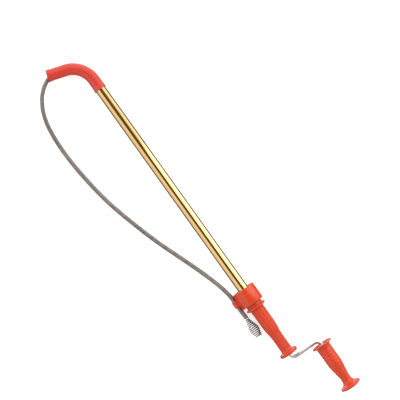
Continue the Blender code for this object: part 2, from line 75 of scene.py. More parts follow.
def tool(x, y=0.0, z=0.0):
    """A point of the tool frame, in the row frame."""
    return ORIGIN + Vector((x, y, z))


def tool_x(node, end):
    """Where a node starts (end 0) or ends (end 1) along the tool's x."""
    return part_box(node)[end].x - ORIGIN.x


# ---------------------------------------------------------------- camera, light and floor

SENSOR = 36.0
LENS = 126.0
CAMERA_TURN = math.radians(54.45)
CAMERA_AT = tool(-254.9 * MM, 43.5 * MM, 3.67)


def make_camera():
    data = bpy.data.cameras.new("camera")
    data.sensor_width = SENSOR
    data.lens = LENS
    data.clip_end = 50
    camera = bpy.data.objects.new("camera", data)
    bpy.context.scene.collection.objects.link(camera)
    camera.location = CAMERA_AT
    camera.rotation_euler = (0, 0, CAMERA_TURN)
    bpy.context.scene.camera = camera


# Radiance of the studio by direction: angles lean from straight up towards +Y across the tube's length
STUDIO = (
    (-180, 0.06), (-118, 0.1), (-107, 1.3), (-85, 1.5), (-60, 1.7), (-44, 1.95), (-34, 1.9),
    (-27, 1.1), (-19, 0.26), (0, 0.17), (21, 0.2), (31, 0.6), (40, 1.3), (50, 2.2), (70, 2.6),
    (94, 2.3), (106, 1.0), (116, 0.08), (180, 0.06),
)
STUDIO_PEAK = max(level for _, level in STUDIO)
# The slot overhead is a warm dark one
SLOT_HALF_ANGLE = 30
SLOT_TINT = (1.0, 0.74, 0.34)
# Grey levels, as a share of the peak, that take over towards the tool's two ends
MOUTH_END_FILL = 0.78
CRANK_END_FILL = 0.33
FILL_SHARE = 0.9
FILL_FROM, FILL_FULL = 0.13, 0.45
KEY_SIZE = (3.0, 0.7)
KEY_ENERGY = 25
KEY_COLOUR = (1.0, 0.92, 0.76)
KEY_LEAN = math.radians(58)
KEY_DISTANCE = 2.0
KEY_AIM = tool(-200 * MM)
FLOOR_HALF = 4
FLOOR_Z = -0.3 * MM
FLOOR_GLOW = 0.55


def make_studio():
    """A light tent: a bright wall along each side of the tool, a dark slot above it for the camera."""
    world = bpy.data.worlds.new("studio")
    bpy.context.scene.world = world
    world.use_nodes = True
    tree = world.node_tree
    direction = tree.nodes.new("ShaderNodeTexCoord").outputs["Generated"]
    split = tree.nodes.new("ShaderNodeSeparateXYZ")
    tree.links.new(direction, split.inputs[0])
    lean = add(tree, split.outputs["Y"], split.outputs["Z"], "ARCTAN2")
    share = scaled(tree, lean, 0, 1, -math.pi, math.pi)
    stops = []
    for angle, level in STUDIO:
        tint = SLOT_TINT if abs(angle) < SLOT_HALF_ANGLE else (1, 1, 1)
        stops.append(((angle + 180) / 360, tuple(level / STUDIO_PEAK * part for part in tint)))
    walls = ramp(tree, share, stops)
    towards_mouth = scaled(tree, split.outputs["X"], 0, FILL_SHARE, -FILL_FROM, -FILL_FULL)
    towards_crank = scaled(tree, split.outputs["X"], 0, FILL_SHARE, FILL_FROM, FILL_FULL)
    one_end = mix(tree, towards_mouth, walls, (MOUTH_END_FILL,) * 3)
    both_ends = mix(tree, towards_crank, one_end, (CRANK_END_FILL,) * 3)
    background = tree.nodes["Background"]
    tree.links.new(both_ends, background.inputs["Color"])
    background.inputs["Strength"].default_value = STUDIO_PEAK
    backdrop = tree.nodes.new("ShaderNodeBackground")
    backdrop.inputs["Color"].default_value = (1, 1, 1, 1)
    choose = tree.nodes.new("ShaderNodeMixShader")
    tree.links.new(tree.nodes.new("ShaderNodeLightPath").outputs["Is Camera Ray"], choose.inputs[0])
    tree.links.new(background.outputs[0], choose.inputs[1])
    tree.links.new(backdrop.outputs[0], choose.inputs[2])
    tree.links.new(choose.outputs[0], tree.nodes["World Output"].inputs["Surface"])


def make_key_light():
    """A soft panel high on the +Y side gives the glints their direction."""
    data = bpy.data.lights.new("key_light", "AREA")
    data.shape = "RECTANGLE"
    data.size, data.size_y = KEY_SIZE
    data.energy = KEY_ENERGY
    data.color = KEY_COLOUR
    light = bpy.data.objects.new("key_light", data)
    bpy.context.scene.collection.objects.link(light)
    away = Vector((0, math.sin(KEY_LEAN), math.cos(KEY_LEAN)))
    light.location = KEY_AIM + away * KEY_DISTANCE
    light.rotation_euler = away.to_track_quat("Z", "X").to_euler()
    light.visible_camera = False
    bpy.context.scene.view_settings.view_transform = "Standard"


def make_floor():
    """Pale paper with a little glow, so that the tool's shadow stays faint; gloss and bounce skip it."""
    mesh = bpy.data.meshes.new("floor")
    shape = bmesh.new()
    bmesh.ops.create_grid(shape, x_segments=1, y_segments=1, size=FLOOR_HALF)
    shape.to_mesh(mesh)
    shape.free()
    floor = bpy.data.objects.new("floor", mesh)
    bpy.context.scene.collection.objects.link(floor)
    floor.location = (0, 0, FLOOR_Z)
    floor.visible_glossy = False
    floor.visible_diffuse = False
    tree, shader = new_material("floor_paper")
    shader.inputs["Roughness"].default_value = 0.9
    grain = noise(tree, 3.0, 2)
    colour = ramp(tree, grain, ((0.3, (0.60, 0.60, 0.597)), (0.7, (0.63, 0.63, 0.627))))
    tree.links.new(colour, shader.inputs["Base Color"])
    shader.inputs["Emission Color"].default_value = (1, 1, 1, 1)
    shader.inputs["Emission Strength"].default_value = FLOOR_GLOW
    mesh.materials.append(LOOKS["floor_paper"])


# ---------------------------------------------------------------- material helpers


LOOKS = {}
MERGE = 0.002 * MM


def new_material(slot):
    """A fresh node material for a slot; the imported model's own plain one keeps the slot's bare name."""
    material = bpy.data.materials.new(slot + "_look")
    material.use_nodes = True
    LOOKS[slot] = material
    return material.node_tree, material.node_tree.nodes["Principled BSDF"]


def coordinates(tree, scale=(1, 1, 1)):
    """Object coordinates in metres, stretched by scale."""
    source = tree.nodes.new("ShaderNodeTexCoord")
    mapping = tree.nodes.new("ShaderNodeMapping")
    mapping.inputs["Scale"].default_value = scale
    tree.links.new(source.outputs["Object"], mapping.inputs["Vector"])
    return mapping.outputs["Vector"]


def noise(tree, scale, detail=4, stretch=(1, 1, 1), roughness=0.55):
    """Noise from 0 to 1 in object space, scale in cycles a metre."""
    node = tree.nodes.new("ShaderNodeTexNoise")
    node.inputs["Scale"].default_value = scale
    node.inputs["Detail"].default_value = detail
    node.inputs["Roughness"].default_value = roughness
    tree.links.new(coordinates(tree, stretch), node.inputs["Vector"])
    return node.outputs["Fac"]


def ramp(tree, value, stops):
    """Colours by value, from (position, colour) stops."""
    node = tree.nodes.new("ShaderNodeValToRGB")
    elements = node.color_ramp.elements
    while len(elements) < len(stops):
        elements.new(0.5)
    for element, (position, colour) in zip(elements, stops):
        element.position = position
        element.color = (*colour, 1)
    tree.links.new(value, node.inputs["Fac"])
    return node.outputs["Color"]


def scaled(tree, value, low, high, from_low=0.0, from_high=1.0):
    """The value's own range brought to low..high, and held there."""
    node = tree.nodes.new("ShaderNodeMapRange")
    node.inputs["From Min"].default_value = from_low
    node.inputs["From Max"].default_value = from_high
    node.inputs["To Min"].default_value = low
    node.inputs["To Max"].default_value = high
    tree.links.new(value, node.inputs["Value"])
    return node.outputs["Result"]


def mix(tree, amount, first, second):
    """Mixes two colours; each is a socket or a colour, and so is the amount or a number."""
    node = tree.nodes.new("ShaderNodeMix")
    node.data_type = "RGBA"
    for socket, value in ((node.inputs[0], amount), (node.inputs[6], first), (node.inputs[7], second)):
        if isinstance(value, bpy.types.NodeSocket):
            tree.links.new(value, socket)
        elif isinstance(value, tuple):
            socket.default_value = (*value, 1)
        else:
            socket.default_value = value
    return node.outputs[2]


def add(tree, first, second, kind="ADD"):
    """Adds two values, or joins them by another math operation."""
    node = tree.nodes.new("ShaderNodeMath")
    node.operation = kind
    for socket, value in zip(node.inputs, (first, second)):
        if isinstance(value, bpy.types.NodeSocket):
            tree.links.new(value, socket)
        else:
            socket.default_value = value
    return node.outputs[0]


def bump(tree, shader, height, distance, strength):
    node = tree.nodes.new("ShaderNodeBump")
    node.inputs["Strength"].default_value = strength
    node.inputs["Distance"].default_value = distance
    tree.links.new(height, node.inputs["Height"])
    tree.links.new(node.outputs["Normal"], shader.inputs["Normal"])


def pointiness_ramp(tree, low, high):
    """Rises from 0 to 1 along the sharp convex edges of a finely divided mesh."""
    geometry = tree.nodes.new("ShaderNodeNewGeometry")
    return scaled(tree, geometry.outputs["Pointiness"], 0, 1, low, high)


# ---------------------------------------------------------------- materials


def make_moulded_red():
    tree, shader = new_material("moulded_red")
    cloud = noise(tree, 14, 3)
    base = ramp(tree, cloud, ((0.32, (0.455, 0.037, 0.011)), (0.68, (0.505, 0.045, 0.016))))
    scuff = scaled(tree, noise(tree, 90, 6, (1, 5, 5)), 0, 1, 0.62, 0.78)
    worn = mix(tree, scaled(tree, scuff, 0, 0.4), base, (0.52, 0.067, 0.03))
    edges = mix(tree, scaled(tree, pointiness_ramp(tree, 0.53, 0.62), 0, 0.35), worn, (0.58, 0.105, 0.05))
    tree.links.new(edges, shader.inputs["Base Color"])
    fine = noise(tree, 900, 2)
    rough = add(tree, scaled(tree, fine, 0.17, 0.26), scaled(tree, scuff, 0, 0.14))
    tree.links.new(rough, shader.inputs["Roughness"])
    grain = add(tree, noise(tree, 1500, 2), add(tree, noise(tree, 60, 2), 0.6, "MULTIPLY"))
    bump(tree, shader, grain, 0.00003, 0.5)
    shader.inputs["Specular IOR Level"].default_value = 0.25
    shader.inputs["Subsurface Weight"].default_value = 0.04
    shader.inputs["Subsurface Radius"].default_value = (0.004, 0.001, 0.0006)
    shader.inputs["Subsurface Scale"].default_value = 1.0


def make_vinyl_red():
    tree, shader = new_material("vinyl_red")
    cloud = noise(tree, 22, 3)
    base = ramp(tree, cloud, ((0.3, (0.455, 0.032, 0.018)), (0.7, (0.50, 0.040, 0.024))))
    smudge = scaled(tree, noise(tree, 70, 5, (2, 2, 2)), 0, 1, 0.60, 0.80)
    tree.links.new(mix(tree, scaled(tree, smudge, 0, 0.5), base, (0.47, 0.055, 0.04)),
                   shader.inputs["Base Color"])
    rough = add(tree, scaled(tree, noise(tree, 300, 3), 0.20, 0.30), scaled(tree, smudge, 0, 0.14))
    tree.links.new(rough, shader.inputs["Roughness"])
    wave = add(tree, noise(tree, 45, 2), scaled(tree, noise(tree, 700, 2), 0, 0.12))
    bump(tree, shader, wave, 0.0004, 0.5)
    shader.inputs["Specular IOR Level"].default_value = 0.32


def make_plated(name, dark, light, tint, rough_low, rough_high):
    """Bright plated steel, drawn along X: fine lengthwise streaks and a cloudy tint in the plating."""
    tree, shader = new_material(name)
    shader.inputs["Metallic"].default_value = 1.0
    streak = noise(tree, 60, 6, (0.6, 22, 22), 0.7)
    base = ramp(tree, streak, ((0.3, dark), (0.7, light)))
    cloud = scaled(tree, noise(tree, 9, 3, (0.5, 2, 2)), 0, 0.45, 0.42, 0.75)
    tree.links.new(mix(tree, cloud, base, tint), shader.inputs["Base Color"])
    scratch = scaled(tree, noise(tree, 240, 3, (0.25, 9, 9)), 0, 1, 0.66, 0.72)
    rough = add(tree, scaled(tree, streak, rough_low, rough_high, 0.3, 0.7),
                scaled(tree, scratch, 0, 0.08))
    tree.links.new(rough, shader.inputs["Roughness"])
    bump(tree, shader, streak, 0.000004, 0.5)


def make_cable_steel():
    """Grey oiled winding wire, darker in the grooves between its turns."""
    tree, shader = new_material("cable_steel")
    shader.inputs["Metallic"].default_value = 0.85
    grime = noise(tree, 130, 5)
    base = ramp(tree, grime, ((0.3, (0.12, 0.105, 0.10)), (0.55, (0.19, 0.17, 0.16)),
                              (0.8, (0.25, 0.23, 0.215))))
    # Near-black where the mesh is least pointy: the grooves between the turns
    groove = pointiness_ramp(tree, 0.40, 0.52)
    tree.links.new(mix(tree, groove, (0.045, 0.036, 0.032), base), shader.inputs["Base Color"])
    tree.links.new(scaled(tree, noise(tree, 500, 3), 0.34, 0.52), shader.inputs["Roughness"])
    bump(tree, shader, noise(tree, 1600, 3), 0.00005, 0.5)


def make_bulb_steel():
    tree, shader = new_material("bulb_steel")
    shader.inputs["Metallic"].default_value = 0.9
    grime = noise(tree, 260, 4)
    base = ramp(tree, grime, ((0.35, (0.03, 0.022, 0.019)), (0.7, (0.09, 0.07, 0.065))))
    tree.links.new(base, shader.inputs["Base Color"])
    tree.links.new(scaled(tree, noise(tree, 700, 3), 0.26, 0.46), shader.inputs["Roughness"])
    bump(tree, shader, noise(tree, 1400, 3), 0.00005, 0.5)


def make_nylon():
    tree, shader = new_material("nylon")
    tree.links.new(ramp(tree, noise(tree, 80, 3), ((0.3, (0.76, 0.74, 0.66)), (0.7, (0.84, 0.83, 0.77)))),
                   shader.inputs["Base Color"])
    tree.links.new(scaled(tree, noise(tree, 600, 2), 0.42, 0.56), shader.inputs["Roughness"])
    bump(tree, shader, noise(tree, 1500, 2), 0.00004, 0.5)
    shader.inputs["Subsurface Weight"].default_value = 0.1
    shader.inputs["Subsurface Scale"].default_value = 0.002


def make_materials():
    make_moulded_red()
    make_vinyl_red()
    for name, dark, light, tint, rough_low, rough_high in (
            ("zinc_yellow_steel", (0.46, 0.30, 0.12), (0.54, 0.375, 0.18), (0.52, 0.32, 0.15), 0.06, 0.12),
            ("plated_rod_steel", (0.46, 0.45, 0.445), (0.56, 0.55, 0.55), (0.50, 0.495, 0.505), 0.24, 0.34),
            ("fastener_steel", (0.45, 0.45, 0.47), (0.66, 0.66, 0.67), (0.55, 0.57, 0.62), 0.26, 0.42)):
        make_plated(name, dark, light, tint, rough_low, rough_high)
    make_cable_steel()
    make_bulb_steel()
    make_nylon()


# ---------------------------------------------------------------- mesh helpers


def new_piece(name, verts, faces, body, node, slot, sharp=35):
    """A smooth-shaded piece that rides on a body and stands for a CAD node."""
    mesh = bpy.data.meshes.new(name)
    mesh.from_pydata([tuple(v) for v in verts], [], faces)
    shape = bmesh.new()
    shape.from_mesh(mesh)
    bmesh.ops.remove_doubles(shape, verts=shape.verts, dist=MERGE)
    bmesh.ops.recalc_face_normals(shape, faces=shape.faces)
    shape.to_mesh(mesh)
    shape.free()
    mesh.shade_smooth()
    mesh.set_sharp_from_angle(angle=math.radians(sharp))
    obj = bpy.data.objects.new(name, mesh)
    bpy.context.scene.collection.objects.link(obj)
    mesh.materials.append(LOOKS[slot])
    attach(obj, body)
    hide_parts(node)
    return obj


def ring_faces(rings, around, loop=False):
    """Quads between rings of points, each ring closed; loop joins the last ring to the first."""
    faces = []
    for i in range(rings if loop else rings - 1):
        a, b = i * around, ((i + 1) % rings) * around
        for j in range(around):
            k = (j + 1) % around
            faces.append((a + j, a + k, b + k, b + j))
    return faces


def lofted(rings, around):
    """Faces of closed rings joined in order, with both ends filled."""
    last = (rings - 1) * around
    return ring_faces(rings, around) + [tuple(range(around)), tuple(range(last + around - 1, last - 1, -1))]


def lathe(outline, around, centre=(0, 0), dent=None):
    """Points and faces of an outline of (x, radius) turned about a line along X. dent(x, angle, radius)
    gives the radius there. A hollow outline closes on itself; one that ends on the axis is solid."""
    verts = []
    for x, radius in outline:
        for j in range(around):
            angle = 2 * math.pi * j / around
            r = dent(x, angle, radius) if dent else radius
            verts.append(tool(x, centre[0] + r * math.cos(angle), centre[1] + r * math.sin(angle)))
    solid = outline[0][1] == 0 and outline[-1][1] == 0
    return verts, ring_faces(len(outline), around, loop=not solid)


def rounded(points, radius, steps=4):
    """A closed outline with its corners rounded, each by the radius or by what its sides leave."""
    out = []
    count = len(points)
    for i in range(count):
        before, here, after = (Vector((*points[(i + k) % count], 0)) for k in (-1, 0, 1))
        reach = min(radius, (before - here).length * 0.45, (after - here).length * 0.45)
        if reach < 1e-6:
            out.append((here.x, here.y))
            continue
        a = here + (before - here).normalized() * reach
        b = here + (after - here).normalized() * reach
        for k in range(steps + 1):
            t = k / steps
            p = a * (1 - t) ** 2 + here * (2 * t * (1 - t)) + b * t * t
            out.append((p.x, p.y))
    return out


def smoothed(points, steps):
    """An open outline through its points as a smooth curve, steps to each stretch."""
    ends = [points[0]] + list(points) + [points[-1]]
    out = []
    for a, b, c, d in zip(ends, ends[1:], ends[2:], ends[3:]):
        for k in range(steps):
            t = k / steps
            out.append(tuple(
                0.5 * (2 * b[n] + (c[n] - a[n]) * t + (2 * a[n] - 5 * b[n] + 4 * c[n] - d[n]) * t * t
                       + (3 * b[n] - a[n] - 3 * c[n] + d[n]) * t**3) for n in (0, 1)))
    out.append(tuple(points[-1]))
    return out


def frames(points, up=Vector((0, 0, 1))):
    """At each point of a path: its heading, and two directions across it that don't twist."""
    found = []
    side = None
    for i, point in enumerate(points):
        heading = (points[min(i + 1, len(points) - 1)] - points[max(i - 1, 0)]).normalized()
        side = side or heading.cross(up).normalized()
        side = (side - heading * side.dot(heading)).normalized()
        found.append((point, heading, side, heading.cross(side) * -1))
    return found


def swept(points, around, radius):
    """Rings of points about a path; radius(i, angle) gives each one's distance from it."""
    verts = []
    for i, (point, _, side, rise) in enumerate(frames(points)):
        for j in range(around):
            angle = 2 * math.pi * j / around
            verts.append(point + (side * math.cos(angle) + rise * math.sin(angle)) * radius(i, angle))
    return verts


def even(points, spacing):
    """The same path with points a fixed spacing apart, and the run at each."""
    runs = np.concatenate([[0], np.cumsum([(b - a).length for a, b in zip(points, points[1:])])])
    count = max(2, round(runs[-1] / spacing))
    wanted = np.linspace(0, runs[-1], count + 1)
    table = np.array([tuple(p) for p in points])
    columns = [np.interp(wanted, runs, table[:, n]) for n in range(3)]
    return [Vector(p) for p in zip(*columns)], wanted


# ---------------------------------------------------------------- guide tube and guard

TUBE_RADIUS = size("guide_tube").z / 2
TUBE_WALL = 1.2 * MM
TUBE_REAR = tool_x("guide_tube", 1)
BEND_START = -673.5 * MM
BEND_RADIUS = 66.5 * MM
BEND_ANGLE = math.radians(72.5)
MOUTH_STRAIGHT = 49.0 * MM
BEND_LENGTH = BEND_RADIUS * BEND_ANGLE
MOUTH_RUN = BEND_LENGTH + MOUTH_STRAIGHT
GUARD_START = tool_x("vinyl_guard", 1)
GUARD_WALL = 1.3 * MM
GUARD_RADIUS = 15.9 * MM
GUARD_END_RADIUS = 16.9 * MM
GUARD_FLARE = 14.0 * MM
GUARD_OVERHANG = 4.0 * MM


def tube_point(run):
    """Point and heading of the tube's centreline, run metres past the start of the bend."""
    if run <= 0:
        return Vector((BEND_START - run, 0, 0)), Vector((-1, 0, 0))
    angle = min(run / BEND_RADIUS, BEND_ANGLE)
    heading = Vector((-math.cos(angle), -math.sin(angle), 0))
    point = Vector((BEND_START - BEND_RADIUS * math.sin(angle),
                    -BEND_RADIUS * (1 - math.cos(angle)), 0))
    return point + heading * max(0, run - BEND_LENGTH), heading


def pipe(runs, outer, inner, around):
    """Points and faces of an open pipe with rounded lips. outer(run, angle) and inner(run, angle) are
    its radii."""
    path = [ORIGIN + tube_point(run)[0] for run in runs]
    wall = outer(runs[0], 0) - inner(runs[0], 0)
    lip = wall * 0.35
    outside = swept(path, around, lambda i, a: outer(runs[i], a) - (lip if i in (0, len(runs) - 1) else 0))
    inside = swept(path, around, lambda i, a: inner(runs[i], a) + (lip if i in (0, len(runs) - 1) else 0))
    rings = [outside[i * around:(i + 1) * around] for i in range(len(path))]
    back = [inside[i * around:(i + 1) * around] for i in range(len(path))]
    verts = [v for ring in rings + back[::-1] for v in ring]
    return verts, ring_faces(2 * len(path), around, loop=True)


def stations(first, last, lips, bend_steps, straight_steps=1):
    """Runs along the tube: close together at both lips, along the bend, and as asked between."""
    runs = {first, first + lips, last - lips, last}
    runs |= {BEND_LENGTH * i / bend_steps for i in range(bend_steps + 1)}
    for a, b in ((first, 0.0), (BEND_LENGTH, last)):
        runs |= {a + (b - a) * i / straight_steps for i in range(straight_steps + 1)}
    return sorted(run for run in runs if first <= run <= last)


def make_guide_tube():
    last = MOUTH_RUN - GUARD_OVERHANG
    runs = stations(BEND_START - TUBE_REAR, last, 0.4 * MM, 40, 12)
    verts, faces = pipe(runs, lambda run, a: TUBE_RADIUS, lambda run, a: TUBE_RADIUS - TUBE_WALL, 72)
    new_piece("guide_tube_steel", verts, faces, "guide", "guide_tube", "zinc_yellow_steel")


def make_vinyl_guard():
    """The sleeve swells at both ends, and at the mouth the cable pushes its inner lip out."""
    first = BEND_START - GUARD_START

    def outer(run, angle):
        swell = max(0, 1 - min(run - first, MOUTH_RUN - run) / GUARD_FLARE)
        crease = 0.12 * MM * math.sin(run / (3.4 * MM)) * max(0, -math.cos(angle)) ** 4
        at_bend = max(0, math.sin(math.pi * min(1, max(0, run / BEND_LENGTH))))
        radius = GUARD_RADIUS + (GUARD_END_RADIUS - GUARD_RADIUS) * swell * swell * (3 - 2 * swell)
        push = 0.8 * MM * max(0, 1 - (MOUTH_RUN - run) / GUARD_FLARE) ** 2 * max(0, -math.cos(angle)) ** 2
        return radius + crease * at_bend + push

    runs = stations(first, MOUTH_RUN, 0.45 * MM, 70, 16)
    verts, faces = pipe(runs, outer, lambda run, a: outer(run, a) - GUARD_WALL, 72)
    new_piece("vinyl_guard_sleeve", verts, faces, "guide", "vinyl_guard", "vinyl_red", 50)


# ---------------------------------------------------------------- cable

CABLE_RADIUS = size("cable_inner").z / 2
CABLE_EXIT_SHIFT = 7.6 * MM
CABLE_WIDE_SHIFT = -6.5 * MM
CABLE_STUB = 1.5 * MM
GAP = 0.3 * MM
CABLE_FLOOR_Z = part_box("cable_free")[0].z + CABLE_RADIUS - ORIGIN.z
CLIP_Z = -4.0 * MM
BULB_Y = middle("bulb_head").y - ORIGIN.y
CABLE_END = tool_x("cable_free", 1)
CABLE_ROUTE = [
    (-0.7394, -0.1060), (-0.7326, -0.1176), (-0.7226, -0.1294), (-0.7086, -0.1416), (-0.6841, -0.1562),
    (-0.6584, -0.1656), (-0.6319, -0.1713), (-0.5916, -0.1750), (-0.5510, -0.1753), (-0.5104, -0.1732),
    (-0.4700, -0.1692), (-0.4297, -0.1638), (-0.3896, -0.1568), (-0.3503, -0.1476), (-0.3110, -0.1370),
    (-0.2720, -0.1258), (-0.2329, -0.1134), (-0.1949, -0.0999), (-0.1569, -0.0856), (-0.1187, -0.0714),
    (-0.0802, -0.0582), (-0.0411, -0.0464), (-0.0080, -0.0397), (0.0100, -0.0385), (0.0370, -0.0385),
    (0.0520, -0.0379),
]
CABLE_DOWN = (-732.0 * MM, -575.0 * MM)
CABLE_UP = (-170.0 * MM, 4.0 * MM)
CABLE_PITCH = 2.3 * MM
CABLE_RIB = 0.42 * MM


def ease(x, span):
    """Rises smoothly from 0 at the span's start to 1 at its end."""
    share = min(1, max(0, (x - span[0]) / (span[1] - span[0])))
    return (1 - math.cos(math.pi * share)) / 2


def smooth_curve(points, steps=12):
    """Points on the design's own smooth curve through the given ones."""
    ends = [2 * points[0] - points[1]] + points + [2 * points[-1] - points[-2]]
    fine = []
    for a, b, c, d in zip(ends, ends[1:], ends[2:], ends[3:]):
        knots = [0.0]
        for near, far in ((a, b), (b, c), (c, d)):
            knots.append(knots[-1] + math.sqrt((far - near).length))
        leave = (c - a) / (knots[2] - knots[0]) * (knots[2] - knots[1])
        arrive = (d - b) / (knots[3] - knots[1]) * (knots[2] - knots[1])
        for i in range(steps):
            t = i / steps
            fine.append(b * (2 * t**3 - 3 * t**2 + 1) + leave * (t**3 - 2 * t**2 + t)
                        + c * (3 * t**2 - 2 * t**3) + arrive * (t**3 - t**2))
    return fine + [points[-1]]


def inner_cable_point(run):
    """The cable inside the bend: along the outer side of the curve, then across to the mouth's inner lip."""
    point, heading = tube_point(run)
    inward = Vector((-heading.y, heading.x, 0))
    if run < BEND_LENGTH:
        shift = CABLE_WIDE_SHIFT * ease(run, (0, BEND_LENGTH))
    else:
        share = (run - BEND_LENGTH) / MOUTH_STRAIGHT
        shift = CABLE_WIDE_SHIFT + (CABLE_EXIT_SHIFT - CABLE_WIDE_SHIFT) * share**3
    return point + inward * shift


def free_cable_path():
    """From the mouth down to the floor, along it in a wide loop, and up to the hook and the bulb head."""
    exit_point = inner_cable_point(MOUTH_RUN)
    heading = (exit_point - inner_cable_point(MOUTH_RUN - CABLE_STUB)).normalized()
    plan = [exit_point + heading * GAP]
    plan += [Vector((x, y, 0)) for x, y in CABLE_ROUTE]
    plan.append(Vector((CABLE_END, BULB_Y, 0)))
    path = []
    for point in smooth_curve(plan):
        if point.y < -165 * MM or point.x < CABLE_DOWN[1]:
            point.z = CABLE_FLOOR_Z * ease(point.x, CABLE_DOWN)
        else:
            point.z = CABLE_FLOOR_Z + (CLIP_Z - CABLE_FLOOR_Z) * ease(point.x, CABLE_UP)
        path.append(ORIGIN + point)
    return path


def wound(name, path, spacing, around, node):
    """A cable of one close-wound wire: the ribs follow its helix, and both ends are closed."""
    points, runs = even(path, spacing)

    def radius(i, angle):
        turn = (runs[i] / CABLE_PITCH - angle / (2 * math.pi)) % 1
        return CABLE_RADIUS - CABLE_RIB * (1 - math.sqrt(max(0, 1 - (2 * turn - 1) ** 2)))

    verts = swept(points, around, radius)
    return new_piece(name, verts, lofted(len(points), around), "guide", node, "cable_steel", 60)


def make_cable():
    start = BEND_START - tool_x("cable_inner", 1)
    inner = [ORIGIN + inner_cable_point(start + (MOUTH_RUN - start) * i / 60) for i in range(61)]
    wound("cable_inner_wire", inner, 0.5 * MM, 18, "cable_inner")
    path = free_cable_path()
    cable = wound("cable_free_wire", path, 0.4 * MM, 20, "cable_free")
    return cable, path


BULB_WIRE = 1.2 * MM
BULB_TURNS = 11
BULB_NECK_RADIUS = 4.5 * MM
BULB_RADIUS = 12.8 * MM
BULB_TIP_RADIUS = 6.6 * MM
BULB_WIDEST = 0.6
BULB_START = tool_x("bulb_head", 0) + BULB_WIRE
BULB_END = tool_x("bulb_head", 1) - BULB_WIRE


def bulb_radius(share):
    """The coil's radius at a share of its length."""
    if share < BULB_WIDEST:
        return BULB_NECK_RADIUS + (BULB_RADIUS - BULB_NECK_RADIUS) * ease(share, (-0.04, BULB_WIDEST))
    return BULB_RADIUS + (BULB_TIP_RADIUS - BULB_RADIUS) * ease(share, (BULB_WIDEST, 1.12))


def make_bulb():
    """The wire winds out of the cable, swells, closes and ends in a short upturned tip."""
    turn_steps, around = 32, 12
    steps = BULB_TURNS * turn_steps
    points = []
    for i in range(steps + 1):
        share = i / steps
        angle = 2 * math.pi * BULB_TURNS * share
        radius = bulb_radius(share)
        points.append(tool(BULB_START + (BULB_END - BULB_START) * share,
                           BULB_Y + radius * math.cos(angle), CLIP_Z + radius * math.sin(angle)))
    leave = (points[-1] - points[-2]).normalized()
    points += [points[-1] + leave * 0.5 * MM * k for k in range(1, 8)]
    radii = [BULB_WIRE] * len(points)
    radii[0] = radii[-1] = BULB_WIRE * 0.62
    verts = swept(points, around, lambda i, a: radii[i])
    faces = lofted(len(points), around)
    return new_piece("bulb_head_coil", verts, faces, "bulb", "bulb_head", "bulb_steel", 60)


# ---------------------------------------------------------------- main grip and crank grip

MAIN_GRIP_OUTLINE = [
    (47.4, 21.5), (48.8, 21.9), (50.6, 21.9), (52.2, 22.0), (53.4, 22.7), (54.4, 25.0), (55.1, 26.9),
    (56.4, 27.8), (58.6, 27.8), (59.8, 26.8), (61.0, 23.6), (63.0, 20.6), (66.0, 19.4), (92.0, 19.2),
    (114.0, 18.9), (127.0, 18.2), (137.0, 16.9), (147.0, 15.7), (163.0, 15.2), (182.0, 15.3),
    (195.0, 15.7), (199.2, 17.2), (200.6, 23.6), (203.0, 25.3), (206.6, 25.3), (209.2, 23.8),
    (210.0, 21.4),
]
FLUTES = 14
FLUTE_DEPTH = 1.25 * MM
FLUTES_FROM, FLUTES_TO = 63.5 * MM, 196.0 * MM
ROD_STOP_BORE = size("grip_bushing").y / 2 + GAP
ROD_BORE = 5.05 * MM


def make_main_grip():
    """A fluted grip on the tube's end, with a screw hole and its recess on the underside."""
    bore = TUBE_RADIUS + GAP
    outside = [(x * MM, r * MM) for x, r in MAIN_GRIP_OUTLINE]
    front = tool_x("main_grip", 0)
    head = [(front, 18 * MM), (46.1 * MM, 18 * MM), (46.3 * MM, 20.6 * MM), (46.7 * MM, 21.1 * MM)]
    tail = [(outside[-1][0], ROD_STOP_BORE), (TUBE_REAR + GAP, ROD_STOP_BORE), (TUBE_REAR + GAP, bore),
            (front, bore)]
    outline = head + smoothed(outside, 5) + tail
    outline = densified(outline, 2.5 * MM)

    def dent(x, angle, radius):
        if radius < 15 * MM or not FLUTES_FROM - 5 * MM < x < FLUTES_TO + 5 * MM:
            return radius
        fade = min(ease(x, (FLUTES_FROM - 3 * MM, FLUTES_FROM + 3 * MM)),
                   1 - ease(x, (FLUTES_TO - 3 * MM, FLUTES_TO + 3 * MM)))
        groove = (0.5 - 0.5 * math.cos(FLUTES * (angle - math.pi / 2))) ** 1.6
        return radius - FLUTE_DEPTH * fade * groove

    verts, faces = lathe(outline, FLUTES * 16, (0, 0), dent)
    grip = new_piece("main_grip_moulding", verts, faces, "guide", "main_grip", "moulded_red", 50)
    low, high = (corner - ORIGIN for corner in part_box("grip_screw"))
    x, y = (low.x + high.x) / 2, (low.y + high.y) / 2
    hole = upright(x, y, low.z - 8 * MM, high.z + 1 * MM, SCREW_RADIUS + GAP)
    combined(grip, raw_object("hole", *hole), "DIFFERENCE")
    recess = upright(x, y, low.z - 8 * MM, low.z + SCREW_HEAD + GAP, SCREW_HEAD_RADIUS + GAP)
    combined(grip, raw_object("recess", *recess), "DIFFERENCE")


def densified(outline, step):
    """The same outline with no stretch longer than step."""
    out = []
    for (x0, r0), (x1, r1) in zip(outline, outline[1:] + outline[:1]):
        parts = max(1, math.ceil(math.hypot(x1 - x0, r1 - r0) / step))
        out += [(x0 + (x1 - x0) * k / parts, r0 + (r1 - r0) * k / parts) for k in range(parts)]
    return out


